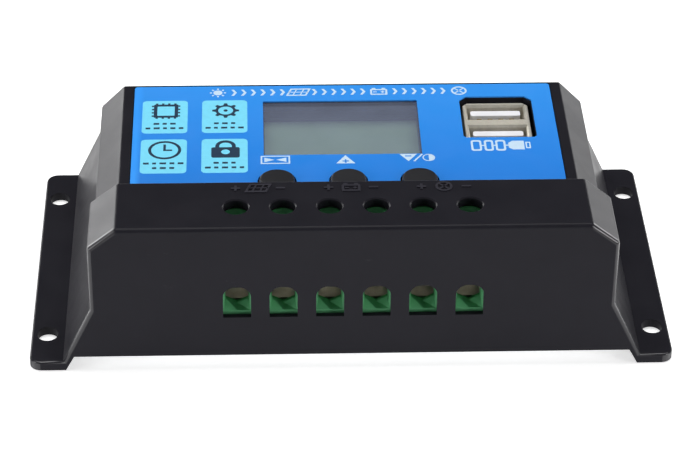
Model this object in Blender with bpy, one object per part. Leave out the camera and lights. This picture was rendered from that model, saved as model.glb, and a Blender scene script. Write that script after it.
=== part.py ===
"""A solar charge controller: a moulded case with side flanges, a display, three buttons,
a two-way charging socket and six rising-clamp wire terminals.

X runs to the right, Y to the back and Z up. The origin is on the mounting surface, under the
middle of the case. Dimensions below are in millimetres, and every mesh is built in metres.
"""

import math

import bmesh
import bpy
from mathutils import Vector

MM = 0.001

# Case, seen from the front: flanges, sloping skirts, upright walls and chamfered shoulders
CASE_WIDTH = 133.5
CASE_DEPTH = 70.0
CASE_HEIGHT = 35.0
FLANGE_THICKNESS = 2.0
FLANGE_CORNER = 2.5
SKIRT_FOOT_X = 59.8
WALL_X = 53.7
SKIRT_TOP_Z = 15.0
PANEL_Z = 25.6
PANEL_SHOULDER_X = 48.5
PANEL_SHOULDER_Z = 20.3
RIDGE_BACK_Y = -18.0
RIDGE_SHOULDER_X = 47.9
RIDGE_SHOULDER_Z = 30.3
FRONT_ROUND = 0.9
OTHER_ROUND = 0.42

# Case, inside
WALL = 2.0
FRONT_WALL = 1.2
UNDERCUT_Z = 3.4
UNDERCUT_TOP_X = 57.4
UNDERCUT_FOOT_X = 59.2
CAVITY_FOOT_X = 56.6
LABEL_POCKET = 0.5

# Flange holes, slightly long towards the front and back
FLANGE_HOLE_X = 63.4
FLANGE_HOLE_Y = 25.1
FLANGE_HOLE_WIDTH = 4.3
FLANGE_HOLE_LENGTH = 4.8

# Front label
LABEL_X = 46.1
LABEL_FRONT_Y = -15.6
LABEL_BACK_Y = 34.25
LABEL_BOTTOM_Z = 25.25
LABEL_TOP_Z = 25.55

# Display
DISPLAY_X = -0.8
DISPLAY_Y = 17.0
WINDOW_WIDTH = 34.0
WINDOW_DEPTH = 21.6
DISPLAY_GLASS_TOP_Z = 20.0

# Buttons
BUTTON_XS = {"menu": -15.1, "up": 0.0, "down": 15.1}
BUTTON_Y = -4.0
BUTTON_HOLE_RADIUS = 4.1
BUTTON_RADIUS = 3.8
BUTTON_TOP_Z = 26.4

# Charging socket: two ports, one in front of the other, open upwards
SOCKET_X = 33.5
SOCKET_FRONT_Y = 12.7
SOCKET_BACK_Y = 28.3
SOCKET_WIDTH = 14.5
SOCKET_TOP_Z = 24.3
PORT_WIDTH = 12.5
PORT_SPANS_Y = ((13.5, 18.9), (21.7, 27.1))
SOCKET_HOLE_SPAN_X = (25.6, 41.5)
SOCKET_HOLE_SPAN_Y = (12.4, 28.9)
SOCKET_HOLE_CHAMFER = 1.5
SOCKET_HOLE_FRONT_CHAMFER = 0.6

# Terminals
TERMINAL_PITCH = 9.5
TERMINAL_Y = -27.1
TERMINAL_XS = [(i - 2.5) * TERMINAL_PITCH for i in range(6)]
DRIVER_HOLE_RADIUS = 2.55
DRIVER_HOLE_CHAMFER = 0.25
WIRE_HOLE_WIDTH = 5.7
WIRE_HOLE_SPAN_Z = (13.0, 20.5)
WIRE_HOLE_ARCH = 2.4
BLOCK_NAMES = ("solar", "battery", "load")
BLOCK_WIDTH = 2 * TERMINAL_PITCH - 0.3
BLOCK_FRONT_Y = -33.5
BLOCK_BACK_Y = -21.2
BLOCK_TOP_Z = 32.7
CHAMBER_SPAN_Z = (13.3, 26.9)
CHAMBER_SPAN_Y = (-30.8, -22.1)
SCREW_HEAD_RADIUS = 2.4
SCREW_HEAD_SPAN_Z = (28.2, 30.4)
SCREW_SHANK_RADIUS = 1.8
SCREW_TIP_Z = 20.9
CONTACT_SPAN_Z = (19.8, 20.6)

# Circuit board, and the plate and posts that close the case from below
BOARD_SPAN_Z = (9.6, 11.2)
BOARD_X = 50.6
BOARD_Y = 31.5
PLATE_SPAN_Z = (3.6, 4.8)
PLATE_X = 55.5
PLATE_Y = 32.6
POST_X = 45.5
POST_Y = 27.0
POST_RADIUS = 3.5
POST_FOOT_Z = 5.1
BOSS_XY = ((-46.0, 2.0), (46.0, 2.0))
BOSS_RADIUS = 2.5

REST_GAP = 0.3


# ---------------------------------------------------------------- materials and objects

def material(name, colour, roughness, metallic=0.0):
    """A plain surface finish with one Principled BSDF."""
    made = bpy.data.materials.new(name)
    made.use_nodes = True
    shader = made.node_tree.nodes["Principled BSDF"]
    shader.inputs["Base Color"].default_value = (*colour, 1.0)
    shader.inputs["Roughness"].default_value = roughness
    shader.inputs["Metallic"].default_value = metallic
    made.diffuse_color = (*colour, 1.0)
    return made


def add_object(name, bm, finish=None, origin=(0.0, 0.0, 0.0)):
    """Puts a mesh built in world millimetres into the scene, with its origin at a given point."""
    bmesh.ops.recalc_face_normals(bm, faces=bm.faces)
    shift = Vector(origin)
    for vertex in bm.verts:
        vertex.co = (vertex.co - shift) * MM
    mesh = bpy.data.meshes.new(name)
    bm.to_mesh(mesh)
    bm.free()
    mesh.shade_smooth()
    mesh.set_sharp_from_angle(angle=math.radians(35))
    obj = bpy.data.objects.new(name, mesh)
    obj.location = shift * MM
    bpy.context.scene.collection.objects.link(obj)
    if finish:
        mesh.materials.append(finish)
    return obj


def combine(target, tool, operation):
    """Adds or removes a helper solid, which stays out of the finished part."""
    tool.hide_render = True
    tool.display_type = "WIRE"
    modifier = target.modifiers.new(tool.name, "BOOLEAN")
    modifier.operation = operation
    modifier.solver = "EXACT"
    modifier.object = tool


def cut(target, *tools):
    for tool in tools:
        combine(target, tool, "DIFFERENCE")


def fuse(target, *tools):
    for tool in tools:
        combine(target, tool, "UNION")


def round_edges(obj, width, segments=2, angle=40):
    """Rounds every edge sharper than an angle, before any cut that is added later."""
    modifier = obj.modifiers.new("Rounding", "BEVEL")
    modifier.width = width * MM
    modifier.segments = segments
    modifier.limit_method = "ANGLE"
    modifier.angle_limit = math.radians(angle)
    modifier.harden_normals = False


# ---------------------------------------------------------------- shapes

def loft(rings):
    """A closed solid through rings of the same number of points, with a flat cap at each end."""
    bm = bmesh.new()
    loops = [[bm.verts.new(point) for point in ring] for ring in rings]
    for near, far in zip(loops, loops[1:]):
        for i in range(len(near)):
            j = (i + 1) % len(near)
            bm.faces.new((near[i], near[j], far[j], far[i]))
    bm.faces.new(loops[0])
    bm.faces.new(loops[-1])
    return bm


def prism(outline, axis, start, end):
    """A flat outline pushed along an axis: (y, z) along X, (x, z) along Y or (x, y) along Z."""
    place = {
        "X": lambda u, v, w: (w, u, v),
        "Y": lambda u, v, w: (u, w, v),
        "Z": lambda u, v, w: (u, v, w),
    }[axis]
    return loft([[place(u, v, w) for u, v in outline] for w in (start, end)])


def box(low, high):
    return prism(rectangle(low[0], high[0], low[1], high[1]), "Z", low[2], high[2])


def turned(centre, profile, segments=24):
    """A solid turned about an upright axis, from (radius, height) points, lowest first."""
    rings = []
    for radius, height in profile:
        turn = [2 * math.pi * i / segments for i in range(segments)]
        rings.append([
            (centre[0] + radius * math.cos(a), centre[1] + radius * math.sin(a), height)
            for a in turn
        ])
    return loft(rings)


def cylinder(centre, radius, low, high, segments=24):
    return turned(centre, [(radius, low), (radius, high)], segments)


def rectangle(low_u, high_u, low_v, high_v):
    return [(low_u, low_v), (high_u, low_v), (high_u, high_v), (low_u, high_v)]


def arc(centre_u, centre_v, radius, start, end, steps):
    """Points on a circle from one angle to another, in degrees, both ends included."""
    turn = [math.radians(start + (end - start) * i / steps) for i in range(steps + 1)]
    return [(centre_u + radius * math.cos(a), centre_v + radius * math.sin(a)) for a in turn]


def rounded_rectangle(low_u, high_u, low_v, high_v, radius, steps=5):
    corners = (
        (high_u - radius, low_v + radius, -90),
        (high_u - radius, high_v - radius, 0),
        (low_u + radius, high_v - radius, 90),
        (low_u + radius, low_v + radius, 180),
    )
    outline = []
    for centre_u, centre_v, start in corners:
        outline += arc(centre_u, centre_v, radius, start, start + 90, steps)
    return outline


def arched_opening(centre):
    """Outline of a wire opening in the front wall: flat sill, upright sides, rounded head."""
    low, high = WIRE_HOLE_SPAN_Z
    half = WIRE_HOLE_WIDTH / 2
    reach = WIRE_HOLE_ARCH
    outline = [(centre - half, low), (centre + half, low)]
    outline += arc(centre + half - reach, high - reach, reach, 0, 90, 8)
    outline += arc(centre - half + reach, high - reach, reach, 90, 180, 8)
    return outline


def cut_cornered(low_x, high_x, low_y, high_y, front_bite, back_bite):
    """Outline of a rectangle with its corners cut off."""
    return [
        (low_x + front_bite, low_y), (high_x - front_bite, low_y), (high_x, low_y + front_bite),
        (high_x, high_y - back_bite), (high_x - back_bite, high_y), (low_x + back_bite, high_y),
        (low_x, high_y - back_bite), (low_x, low_y + front_bite),
    ]


def socket_opening(grow=0.0):
    """Outline of the charging socket's opening in the case, or the slightly larger one in the label."""
    return cut_cornered(
        SOCKET_HOLE_SPAN_X[0] - grow, SOCKET_HOLE_SPAN_X[1] + grow,
        SOCKET_HOLE_SPAN_Y[0] - grow, SOCKET_HOLE_SPAN_Y[1] + grow,
        SOCKET_HOLE_FRONT_CHAMFER, SOCKET_HOLE_CHAMFER)


# ---------------------------------------------------------------- case

def case_body():
    """The outside of the case as one solid, with its edges marked for rounding."""
    front, back = -CASE_DEPTH / 2, CASE_DEPTH / 2
    bm = bmesh.new()
    sides = {}
    for side in (1, -1):
        foot = [
            (CASE_WIDTH / 2, 0.0), (CASE_WIDTH / 2, FLANGE_THICKNESS),
            (SKIRT_FOOT_X, FLANGE_THICKNESS), (WALL_X, SKIRT_TOP_Z),
        ]
        ridge = [(WALL_X, RIDGE_SHOULDER_Z), (RIDGE_SHOULDER_X, CASE_HEIGHT)]
        panel = [(WALL_X, PANEL_SHOULDER_Z), (PANEL_SHOULDER_X, PANEL_Z)]

        def column(points, y):
            return [bm.verts.new((side * x, y, z)) for x, z in points]

        sides[side] = {
            "foot_front": column(foot, front), "foot_back": column(foot, back),
            "ridge_front": column(ridge, front), "ridge_back": column(ridge, RIDGE_BACK_Y),
            "panel_front": column(panel, RIDGE_BACK_Y), "panel_back": column(panel, back),
        }
        s = sides[side]
        for low in range(3):
            bm.faces.new((
                s["foot_front"][low], s["foot_back"][low],
                s["foot_back"][low + 1], s["foot_front"][low + 1],
            ))
        bm.faces.new((
            s["foot_front"][3], s["foot_back"][3], s["panel_back"][0],
            s["panel_front"][0], s["ridge_back"][0], s["ridge_front"][0],
        ))
        bm.faces.new((*s["ridge_front"], *reversed(s["ridge_back"])))
        bm.faces.new((*s["panel_front"], *reversed(s["panel_back"])))
    right, left = sides[1], sides[-1]
    bm.faces.new((
        right["ridge_front"][1], right["ridge_back"][1], left["ridge_back"][1], left["ridge_front"][1],
    ))
    bm.faces.new((
        right["panel_front"][1], right["panel_back"][1], left["panel_back"][1], left["panel_front"][1],
    ))
    bm.faces.new((
        *right["panel_front"], *reversed(left["panel_front"]),
        *left["ridge_back"], *reversed(right["ridge_back"]),
    ))
    bm.faces.new((
        right["foot_front"][0], right["foot_back"][0], left["foot_back"][0], left["foot_front"][0],
    ))
    for end, top in (("foot_front", "ridge_front"), ("foot_back", "panel_back")):
        bm.faces.new((*right[end], *right[top], *reversed(left[top]), *reversed(left[end])))
    bmesh.ops.recalc_face_normals(bm, faces=bm.faces)
    corners = []
    for edge in bm.edges:
        low, high = (vertex.co for vertex in edge.verts)
        if abs(low.x) > SKIRT_FOOT_X + 1.0 and abs(low.z - high.z) > 1.0:
            corners.append(edge)
    bmesh.ops.bevel(
        bm, geom=corners, offset=FLANGE_CORNER, segments=6, profile=0.5, affect="EDGES",
    )
    mark_rounding(bm, front)
    return bm


def mark_rounding(bm, front):
    """Full rounding round the front face, and about half of it on the other outside edges."""
    weight = bm.edges.layers.float.new("bevel_weight_edge")
    bm.normal_update()
    bmesh.ops.recalc_face_normals(bm, faces=bm.faces)
    for edge in bm.edges:
        ends = [vertex.co for vertex in edge.verts]
        if edge.calc_face_angle_signed(0.0) < math.radians(20):
            continue
        if all(point.z < FLANGE_THICKNESS - 0.01 for point in ends):
            continue
        if abs(ends[0].z - ends[1].z) > 1.9 and min(point.z for point in ends) < 0.01:
            continue
        raised = min(point.z for point in ends) > FLANGE_THICKNESS + 0.01
        at_front = all(abs(point.y - front) < 0.01 for point in ends)
        on_skirt = max(point.z for point in ends) > FLANGE_THICKNESS + 0.01
        full = at_front and (raised or on_skirt)
        edge[weight] = 1.0 if full else OTHER_ROUND / FRONT_ROUND


def cavity(low_y, high_y, shoulder_x, shoulder_z, top_z):
    """The hollow of the case between two stations, with sides that follow the skirts and walls."""
    inner = WALL_X - WALL
    half = [
        (CAVITY_FOOT_X, UNDERCUT_Z - 1.0), (CAVITY_FOOT_X, UNDERCUT_Z), (inner, SKIRT_TOP_Z),
        (inner, shoulder_z), (shoulder_x, top_z),
    ]
    outline = half + [(-x, z) for x, z in reversed(half)]
    return prism(outline, "Y", low_y, high_y)


def flange_hole(x, y):
    half = FLANGE_HOLE_WIDTH / 2
    stretch = (FLANGE_HOLE_LENGTH - FLANGE_HOLE_WIDTH) / 2
    outline = arc(x, y + stretch, half, 0, 180, 14) + arc(x, y - stretch, half, 180, 360, 14)
    return prism(outline, "Z", -1.0, FLANGE_THICKNESS + 1.0)


def make_case(finish):
    """Moulded case: one shell with its flanges, posts, bosses and every opening."""
    case = add_object("front_case", case_body(), finish)
    rounding = case.modifiers.new("Rounding", "BEVEL")
    rounding.limit_method = "WEIGHT"
    rounding.width = FRONT_ROUND * MM
    rounding.segments = 3
    rounding.loop_slide = False
    for x in (-FLANGE_HOLE_X, FLANGE_HOLE_X):
        for y in (-FLANGE_HOLE_Y, FLANGE_HOLE_Y):
            cut(case, add_object("flange_hole", flange_hole(x, y)))
    cavity_front = FRONT_WALL - CASE_DEPTH / 2
    cavity_back = CASE_DEPTH / 2 - WALL
    panel_low = PANEL_Z - WALL
    undercut = [
        (UNDERCUT_FOOT_X, -1.0), (UNDERCUT_FOOT_X, 0.0), (UNDERCUT_TOP_X, UNDERCUT_Z),
        (-UNDERCUT_TOP_X, UNDERCUT_Z), (-UNDERCUT_FOOT_X, 0.0), (-UNDERCUT_FOOT_X, -1.0),
    ]
    cut(
        case,
        add_object("undercut", prism(undercut, "Y", -CASE_DEPTH, CASE_DEPTH)),
        add_object("main_cavity", cavity(
            cavity_front, cavity_back, PANEL_SHOULDER_X - 0.8, PANEL_SHOULDER_Z - 0.8, panel_low)),
        add_object("ridge_cavity", cavity(
            cavity_front, RIDGE_BACK_Y - WALL, RIDGE_SHOULDER_X - 0.8,
            RIDGE_SHOULDER_Z - 0.8, CASE_HEIGHT - WALL)),
    )
    for x in (-POST_X, POST_X):
        fuse(case, add_object(
            "back_post", cylinder((x, POST_Y), POST_RADIUS, POST_FOOT_Z, PANEL_Z - 1.0)))
        fuse(case, add_object(
            "front_post", cylinder((x, -POST_Y), POST_RADIUS, POST_FOOT_Z, CASE_HEIGHT - 1.5)))
        for y in (-POST_Y, POST_Y):
            cut(case, add_object("post_pilot", cylinder((x, y), 1.5, POST_FOOT_Z - 1.0, 16.0, 16)))
    for centre in BOSS_XY:
        fuse(case, add_object(
            "board_boss", cylinder(centre, BOSS_RADIUS, BOARD_SPAN_Z[1] + REST_GAP, PANEL_Z - 1.0, 20)))
        cut(case, add_object("boss_pilot", cylinder(centre, 1.35, BOARD_SPAN_Z[1], 19.0, 16)))
    low_x, high_x = DISPLAY_X - WINDOW_WIDTH / 2, DISPLAY_X + WINDOW_WIDTH / 2
    low_y, high_y = DISPLAY_Y - WINDOW_DEPTH / 2, DISPLAY_Y + WINDOW_DEPTH / 2
    pocket_z = PANEL_Z - LABEL_POCKET
    cut(
        case,
        add_object("label_pocket", prism(rounded_rectangle(
            -LABEL_X - 0.2, LABEL_X + 0.2, LABEL_FRONT_Y - 0.2, LABEL_BACK_Y + 0.2, 0.8),
            "Z", pocket_z, PANEL_Z + 1.0)),
        add_object("lens_rebate", prism(rectangle(
            low_x - 1.0, high_x + 1.0, low_y - 1.0, high_y + 1.0), "Z", pocket_z - 1.0, PANEL_Z)),
        add_object("display_opening", prism(rectangle(
            low_x + 0.2, high_x - 0.2, low_y + 0.2, high_y - 0.2), "Z", panel_low - 1.0, PANEL_Z)),
        add_object("socket_opening", prism(socket_opening(), "Z", panel_low - 1.0, PANEL_Z)),
    )
    for x in BUTTON_XS.values():
        cut(case, add_object("button_opening", cylinder(
            (x, BUTTON_Y), BUTTON_HOLE_RADIUS, panel_low - 1.0, PANEL_Z, 40)))
    for x in TERMINAL_XS:
        cut(case, add_object("driver_hole", turned((x, TERMINAL_Y), [
            (DRIVER_HOLE_RADIUS, CASE_HEIGHT - WALL - 1.0),
            (DRIVER_HOLE_RADIUS, CASE_HEIGHT - DRIVER_HOLE_CHAMFER),
            (DRIVER_HOLE_RADIUS + DRIVER_HOLE_CHAMFER, CASE_HEIGHT),
            (DRIVER_HOLE_RADIUS + DRIVER_HOLE_CHAMFER, CASE_HEIGHT + 1.0)], 32)))
        cut(case, add_object("wire_opening", prism(
            arched_opening(x), "Y", -CASE_DEPTH / 2 - 1.0, cavity_front + 1.0)))


def make_back_plate(finish):
    """Flat metal plate that closes the case and takes the heat of the transistors."""
    outline = rounded_rectangle(-PLATE_X, PLATE_X, -PLATE_Y, PLATE_Y, 2.0)
    plate = add_object("back_plate", prism(outline, "Z", *PLATE_SPAN_Z), finish)
    for x in (-POST_X, POST_X):
        for y in (-POST_Y, POST_Y):
            cut(plate, add_object("plate_hole", cylinder((x, y), 1.7, 3.0, 6.0, 16)))


def make_cross_screw(name, finish, centre, head_z, direction, head_radius, shank_radius, length):
    """Round-headed screw that points up, with a cross recess in its head."""
    rise = 1.4
    low = head_z - rise * direction
    profile = [
        (head_radius * 0.55, low), (head_radius * 0.9, low + 0.35 * direction),
        (head_radius, low + 0.8 * direction), (head_radius, head_z),
        (shank_radius, head_z), (shank_radius, head_z + (length - 0.8) * direction),
        (shank_radius * 0.4, head_z + length * direction),
    ]
    screw = add_object(name, turned(centre, profile, 20), finish, (centre[0], centre[1], head_z))
    for half_x, half_y in ((1.2, 0.25), (0.25, 1.2)):
        cut(screw, add_object("cross_recess", box(
            (centre[0] - half_x, centre[1] - half_y, low - 0.5),
            (centre[0] + half_x, centre[1] + half_y, low + 0.7))))


# ---------------------------------------------------------------- label and display

def make_label(finish):
    """Printed label with openings for the display, the buttons and the charging socket."""
    outline = rounded_rectangle(-LABEL_X, LABEL_X, LABEL_FRONT_Y, LABEL_BACK_Y, 0.7)
    label = add_object("front_label", prism(outline, "Z", LABEL_BOTTOM_Z, LABEL_TOP_Z), finish)
    low_x, high_x = DISPLAY_X - WINDOW_WIDTH / 2, DISPLAY_X + WINDOW_WIDTH / 2
    low_y, high_y = DISPLAY_Y - WINDOW_DEPTH / 2, DISPLAY_Y + WINDOW_DEPTH / 2
    cut(
        label,
        add_object("label_window", prism(rectangle(low_x, high_x, low_y, high_y), "Z", 24.0, 27.0)),
        add_object("label_socket", prism(socket_opening(0.05), "Z", 24.0, 27.0)),
    )
    for x in BUTTON_XS.values():
        cut(label, add_object("label_button", cylinder(
            (x, BUTTON_Y), BUTTON_HOLE_RADIUS + 0.05, 24.0, 27.0, 40)))


def display_block(half_x, half_y, low, high):
    return box(
        (DISPLAY_X - half_x, DISPLAY_Y - half_y, low), (DISPLAY_X + half_x, DISPLAY_Y + half_y, high))


def make_display(finishes):
    """Clear lens, liquid-crystal glass, light guide, rubber contact strips and their frame."""
    pocket_z = PANEL_Z - LABEL_POCKET
    lens_x, lens_y = WINDOW_WIDTH / 2 + 0.8, WINDOW_DEPTH / 2 + 0.8
    add_object(
        "display_lens", display_block(lens_x, lens_y, pocket_z - 0.85, pocket_z - 0.05), finishes["clear"])
    glass_low = DISPLAY_GLASS_TOP_Z - 1.8
    add_object(
        "display_glass", display_block(18.5, 12.5, glass_low, DISPLAY_GLASS_TOP_Z), finishes["display"])
    base = BOARD_SPAN_Z[1] + REST_GAP
    strip_top = glass_low - REST_GAP
    add_object(
        "display_backlight", display_block(18.0, 9.8, strip_top - 2.6, strip_top), finishes["white"])
    for name, y in (("front", -11.3), ("back", 11.3)):
        add_object(f"display_strip_{name}", box(
            (DISPLAY_X - 17.5, DISPLAY_Y + y - 1.0, base),
            (DISPLAY_X + 17.5, DISPLAY_Y + y + 1.0, strip_top)), finishes["rubber"])
    frame = add_object(
        "display_frame", display_block(19.9, 13.9, base, DISPLAY_GLASS_TOP_Z + 1.0), finishes["black"])
    cut(
        frame,
        add_object("frame_inside", display_block(18.9, 12.9, base - 1.0, DISPLAY_GLASS_TOP_Z + REST_GAP)),
        add_object("frame_mouth", display_block(17.3, 11.1, base - 1.0, DISPLAY_GLASS_TOP_Z + 2.0)),
    )


# ---------------------------------------------------------------- buttons and switches

def make_button(name, x, finishes):
    """Button cap with a retaining collar and stem, over a switch and its plunger."""
    centre = (x, BUTTON_Y)
    plunger_top = 17.0
    stem_low = plunger_top + 0.2
    collar_low = PANEL_Z - WALL - 1.7
    crown = 0.5
    cap = [
        (1.9, stem_low), (1.9, collar_low), (4.8, collar_low), (4.8, collar_low + 1.2),
        (BUTTON_RADIUS, collar_low + 1.2), (BUTTON_RADIUS, BUTTON_TOP_Z - crown),
        (BUTTON_RADIUS - 0.15, BUTTON_TOP_Z - 0.2), (BUTTON_RADIUS - crown, BUTTON_TOP_Z),
    ]
    add_object(f"{name}_button", turned(centre, cap, 36), finishes["button"], (*centre, BUTTON_TOP_Z))
    low = BOARD_SPAN_Z[1] + REST_GAP
    high = low + 3.4
    switch = add_object(
        f"{name}_switch", box((x - 3, BUTTON_Y - 3, low), (x + 3, BUTTON_Y + 3, high)), finishes["black"])
    round_edges(switch, 0.3, 1)
    cut(switch, add_object("switch_bore", cylinder(centre, 1.9, low + 0.9, high + 1.0, 20)))
    plunger = [(1.6, low + 1.6), (1.6, plunger_top - 0.3), (1.3, plunger_top)]
    add_object(f"{name}_plunger", turned(centre, plunger, 20), finishes["black"], (*centre, plunger_top))


# ---------------------------------------------------------------- charging socket

def make_socket(finishes):
    """Metal shell with two ports, and the white core whose tongues stand in them."""
    base = BOARD_SPAN_Z[1] + REST_GAP
    shell_low = base + 2.0
    half = SOCKET_WIDTH / 2
    outline = cut_cornered(SOCKET_X - half, SOCKET_X + half, SOCKET_FRONT_Y, SOCKET_BACK_Y, 1.1, 1.1)
    shell = add_object(
        "charging_socket_shell", prism(outline, "Z", shell_low, SOCKET_TOP_Z), finishes["steel"])
    round_edges(shell, 0.3, 2)
    core = add_object("charging_socket_core", box(
        (SOCKET_X - 7.0, SOCKET_FRONT_Y + 0.2, base),
        (SOCKET_X + 7.0, SOCKET_BACK_Y - 0.2, shell_low - REST_GAP)), finishes["white"])
    low_x, high_x = SOCKET_X - PORT_WIDTH / 2, SOCKET_X + PORT_WIDTH / 2
    lip = 0.35
    levels = (
        (0.0, shell_low - 1.0), (0.0, SOCKET_TOP_Z - 0.5), (lip, SOCKET_TOP_Z), (lip, SOCKET_TOP_Z + 1.0))
    for low_y, high_y in PORT_SPANS_Y:
        mouth = [
            [(x, y, z) for x, y in rectangle(low_x - grow, high_x + grow, low_y - grow, high_y + grow)]
            for grow, z in levels
        ]
        cut(shell, add_object("port", loft(mouth)))
        tongue = add_object("tongue", prism(
            rounded_rectangle(SOCKET_X - 5.5, SOCKET_X + 5.5, high_y - 2.9, high_y - 1.0, 0.4, 2),
            "Z", base + 0.5, SOCKET_TOP_Z - 0.8))
        fuse(core, tongue)


# ---------------------------------------------------------------- terminals

def wire_funnel(x):
    """The tapering wire entry of one terminal, with a V-shaped sill."""
    stations = (
        (BLOCK_FRONT_Y - 1.0, 2.75, 20.2, 13.7, 13.7), (BLOCK_FRONT_Y, 2.75, 20.2, 13.7, 13.7),
        (BLOCK_FRONT_Y + 1.9, 2.35, 19.6, 15.5, 14.3), (CHAMBER_SPAN_Y[0] + 0.5, 2.35, 19.6, 15.5, 14.3),
    )
    return loft([
        [(x - half, y, top), (x - half, y, side_z), (x, y, sill_z),
         (x + half, y, side_z), (x + half, y, top)]
        for y, half, top, side_z, sill_z in stations
    ])


def make_block(name, centre, finish):
    """Two-way terminal housing: wire entries in front, driver bores on top, cage chambers inside."""
    base = BOARD_SPAN_Z[1] + REST_GAP
    outline = [
        (BLOCK_FRONT_Y, base), (BLOCK_FRONT_Y, 24.6), (BLOCK_FRONT_Y + 1.6, 27.0),
        (BLOCK_FRONT_Y + 1.6, BLOCK_TOP_Z), (BLOCK_BACK_Y - 1.4, BLOCK_TOP_Z),
        (BLOCK_BACK_Y - 1.4, 25.0), (BLOCK_BACK_Y, 23.0), (BLOCK_BACK_Y, base),
    ]
    half = BLOCK_WIDTH / 2
    block = add_object(f"terminal_block_{name}", prism(outline, "X", centre - half, centre + half), finish)
    for x in (centre - TERMINAL_PITCH / 2, centre + TERMINAL_PITCH / 2):
        cut(
            block,
            add_object("chamber", box(
                (x - 3.45, CHAMBER_SPAN_Y[0], CHAMBER_SPAN_Z[0]),
                (x + 3.45, CHAMBER_SPAN_Y[1], CHAMBER_SPAN_Z[1]))),
            add_object("wire_funnel", wire_funnel(x)),
            add_object("screw_bore", turned((x, TERMINAL_Y), [
                (2.05, CHAMBER_SPAN_Z[1] - 1.0), (2.05, SCREW_HEAD_SPAN_Z[0] - 0.3),
                (2.7, SCREW_HEAD_SPAN_Z[0] - 0.3), (2.7, BLOCK_TOP_Z + 1.0)], 24)),
            add_object("leg_slot", box(
                (x - 2.3, -23.5, base - 1.0), (x + 2.3, -22.1, CHAMBER_SPAN_Z[0] + 1.0))),
        )


def make_terminal(number, x, finishes):
    """Clamp screw, rising cage and fixed contact of one terminal."""
    low, high = SCREW_HEAD_SPAN_Z
    profile = [
        (SCREW_SHANK_RADIUS - 0.4, SCREW_TIP_Z), (SCREW_SHANK_RADIUS, SCREW_TIP_Z + 0.4),
        (SCREW_SHANK_RADIUS, low), (SCREW_HEAD_RADIUS, low), (SCREW_HEAD_RADIUS, high - 0.3),
        (SCREW_HEAD_RADIUS - 0.3, high),
    ]
    centre = (x, TERMINAL_Y)
    screw = add_object(
        f"terminal_screw_{number}", turned(centre, profile, 20), finishes["zinc"], (*centre, high))
    cut(screw, add_object("driver_slot", box(
        (x - 3.0, TERMINAL_Y - 0.4, high - 1.0), (x + 3.0, TERMINAL_Y + 0.4, high + 1.0))))
    cage_low, cage_high = 13.6, 22.4
    cage = add_object(f"terminal_cage_{number}", box(
        (x - 3.2, TERMINAL_Y - 3.0, cage_low), (x + 3.2, TERMINAL_Y + 3.0, cage_high)), finishes["zinc"],
        (*centre, cage_low))
    cut(
        cage,
        add_object("cage_window", box(
            (x - 2.5, TERMINAL_Y - 4.0, cage_low + 0.8), (x + 2.5, TERMINAL_Y + 4.0, cage_high - 1.5))),
        add_object("cage_thread", cylinder(centre, SCREW_SHANK_RADIUS + 0.1, 20.0, 24.0, 20)),
    )
    low_z, high_z = CONTACT_SPAN_Z
    leg = [
        (-30.5, high_z), (-30.5, low_z), (-23.2, low_z), (-23.2, BOARD_SPAN_Z[0] - 1.4),
        (-22.4, BOARD_SPAN_Z[0] - 1.4), (-22.4, high_z),
    ]
    add_object(f"terminal_contact_{number}", prism(leg, "X", x - 2.0, x + 2.0), finishes["brass"])


# ---------------------------------------------------------------- board and its parts

def make_board(finish):
    """Circuit board, with room for the posts, the board screws and the terminal legs."""
    outline = rounded_rectangle(-BOARD_X, BOARD_X, -BOARD_Y, BOARD_Y, 1.0, 3)
    board = add_object("circuit_board", prism(outline, "Z", *BOARD_SPAN_Z), finish)
    for x in (-POST_X, POST_X):
        for y in (-POST_Y, POST_Y):
            cut(board, add_object("post_room", cylinder((x, y), POST_RADIUS + 0.4, 8.0, 13.0, 24)))
    for centre in BOSS_XY:
        cut(board, add_object("screw_room", cylinder(centre, 1.4, 8.0, 13.0, 16)))
    for x in TERMINAL_XS:
        cut(board, add_object("leg_room", box((x - 2.3, -23.5, 8.0), (x + 2.3, -22.1, 13.0))))


def make_transistor(number, x, finish):
    """Flat power transistor on the pad under the board, with a holed tab and three legs."""
    low = PLATE_SPAN_Z[1] + 0.75
    package = add_object(
        f"power_transistor_{number}", box((x - 5.1, -9.0, low), (x + 5.1, 0.0, low + 3.6)), finish)
    tab = add_object("transistor_tab", box((x - 5.1, -1.0, low), (x + 5.1, 6.3, low + 1.2)))
    fuse(package, tab)
    cut(package, add_object("tab_hole", cylinder((x, 3.0), 1.8, low - 1.0, low + 2.0, 16)))
    for offset in (-2.54, 0.0, 2.54):
        fuse(package, add_object("transistor_leg", box(
            (x + offset - 0.4, -13.0, low + 1.6), (x + offset + 0.4, -8.0, low + 2.2))))


def make_can(name, centre, radius, height, finish):
    """Upright electrolytic capacitor with its crimped groove."""
    low = BOARD_SPAN_Z[1] + REST_GAP
    add_object(name, turned(centre, [
        (radius - 0.3, low), (radius, low + 0.3), (radius, low + 1.4), (radius - 0.35, low + 1.8),
        (radius, low + 2.2), (radius, low + height - 0.5), (radius - 0.5, low + height)], 28), finish)


def make_inductor(centre, finish):
    """Drum-shaped coil former of the charging socket's supply."""
    low = BOARD_SPAN_Z[1] + REST_GAP
    add_object("power_inductor", turned(centre, [
        (5.0, low), (5.0, low + 1.3), (3.9, low + 1.6), (3.9, low + 5.4), (5.0, low + 5.7),
        (5.0, low + 7.0)], 28), finish)


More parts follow.
